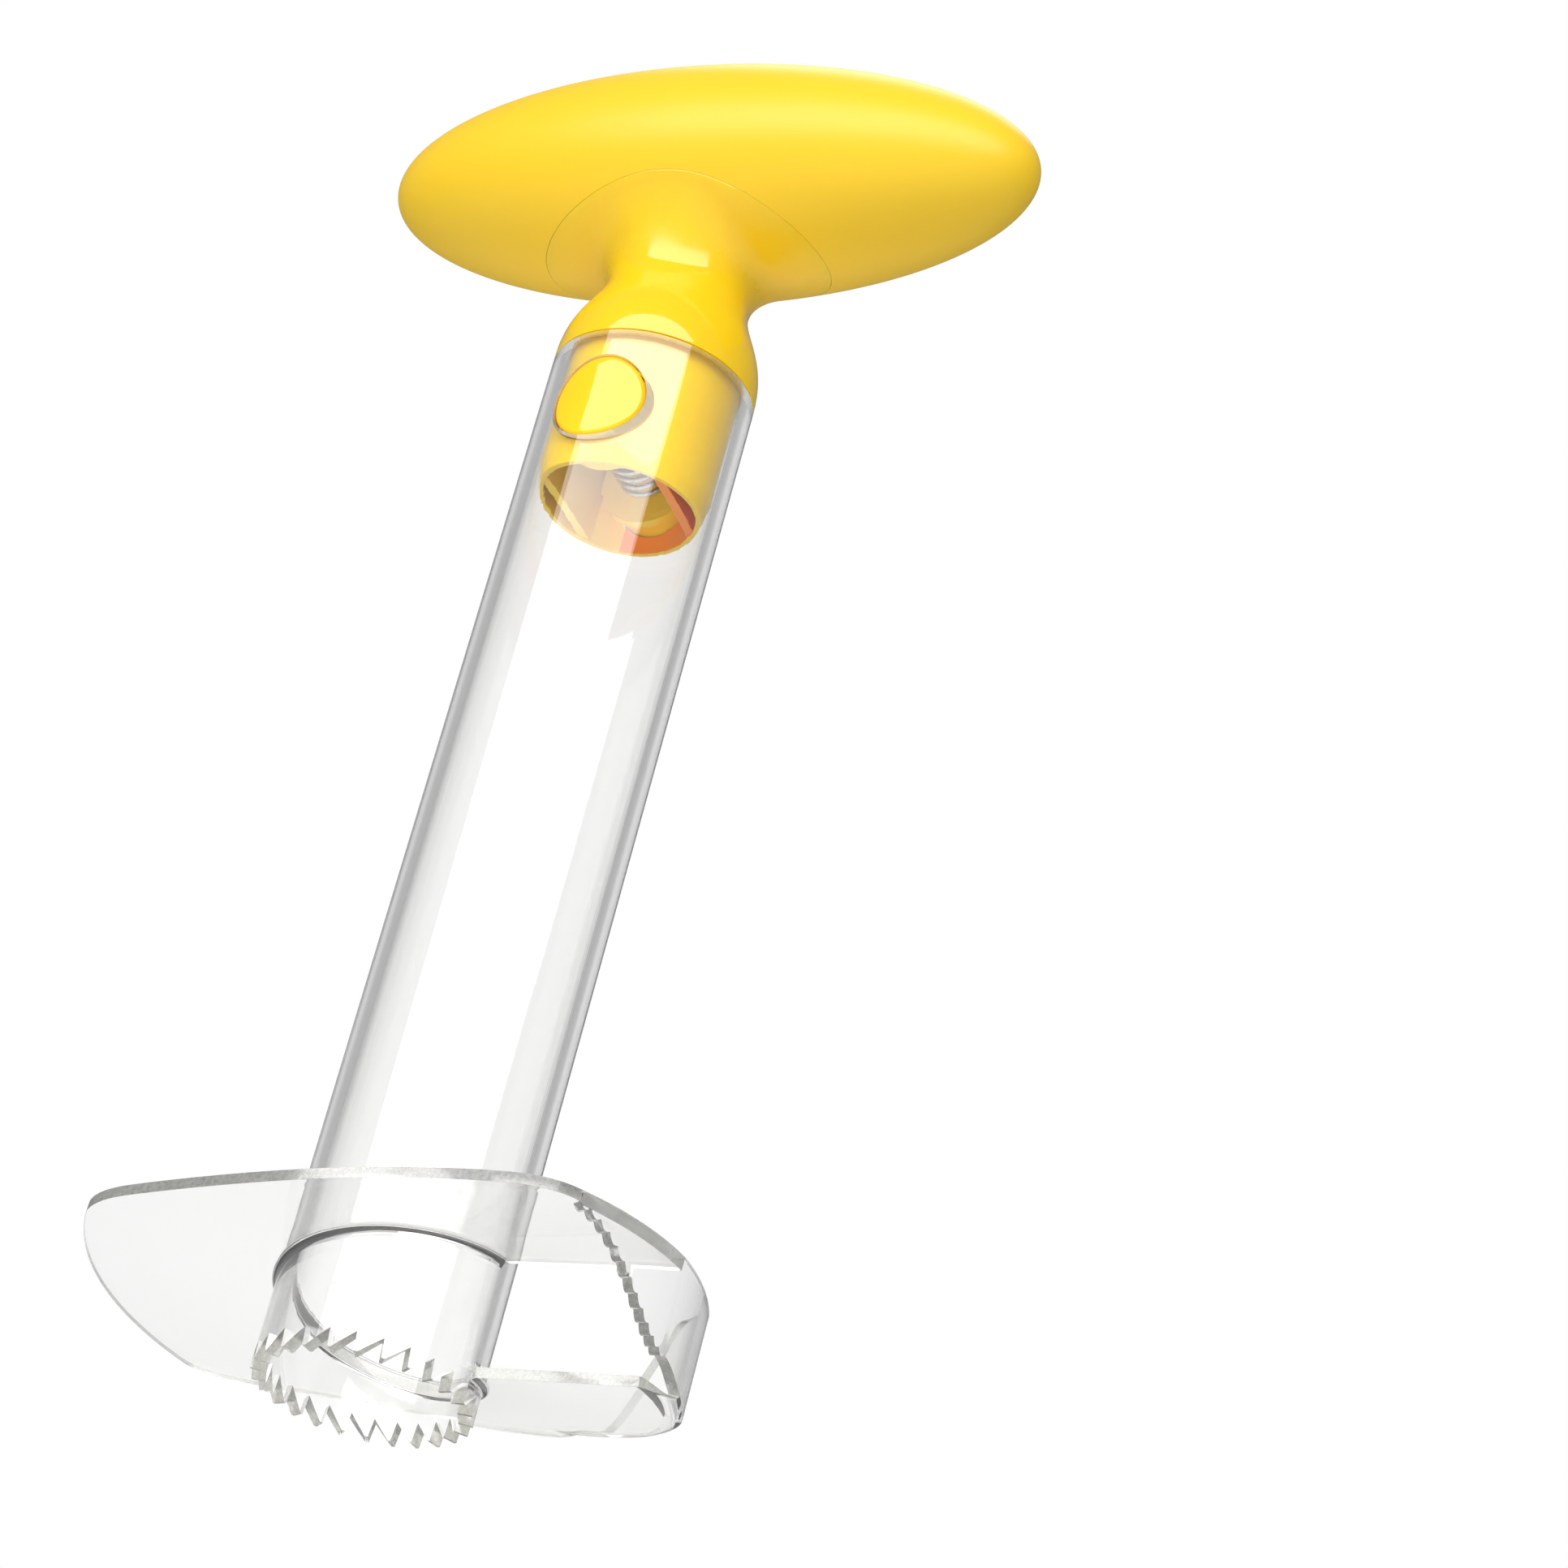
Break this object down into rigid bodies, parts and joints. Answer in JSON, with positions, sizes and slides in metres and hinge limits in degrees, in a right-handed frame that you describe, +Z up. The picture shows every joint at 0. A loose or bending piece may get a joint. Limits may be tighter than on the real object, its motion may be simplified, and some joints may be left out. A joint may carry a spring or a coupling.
{
  "type": "pineapple slicer",
  "caption": "Hand tool with a toothed coring tube, a one-turn spiral slicing blade and a crosswise grip whose sprung push buttons release it from the tube.",
  "frame": {"origin": "centre of the tube's axis, level with the tips of the saw teeth that the tool stands on", "axes": "+Z up along the coring tube to the grip; X along the grip; the release buttons press along Y; the blade's cutting edge lies over +X"},
  "size_m": [0.1144, 0.0579, 0.2398],
  "materials": {
    "tube_clear": "clear, polished",
    "blade_clear": "clear, polished",
    "stem_yellow": "glossy",
    "grip_yellow": "satin",
    "button_yellow": "glossy",
    "spring_steel": "drawn wire"
  },
  "bodies": {
    "cutter": {"core_tube": "tube_clear", "spiral_blade": "blade_clear", "handle_stem": "stem_yellow", "grip_shell": "grip_yellow", "button_spring": "spring_steel"},
    "front_button": {"release_button_front": "button_yellow"},
    "rear_button": {"release_button_rear": "button_yellow"}
  },
  "joints": [
    {"name": "front_button_press", "type": "slide", "parent": "cutter", "child": "front_button", "axis": [0, 1, 0], "range_m": [0, 0.003], "stiffness_N_per_m": 800, "springref_m": -0.004, "deforming": ["button_spring"]},
    {"name": "rear_button_press", "type": "slide", "parent": "cutter", "child": "rear_button", "axis": [0, -1, 0], "range_m": [0, 0.003], "stiffness_N_per_m": 800, "springref_m": -0.004, "deforming": ["button_spring"]}
  ]
}
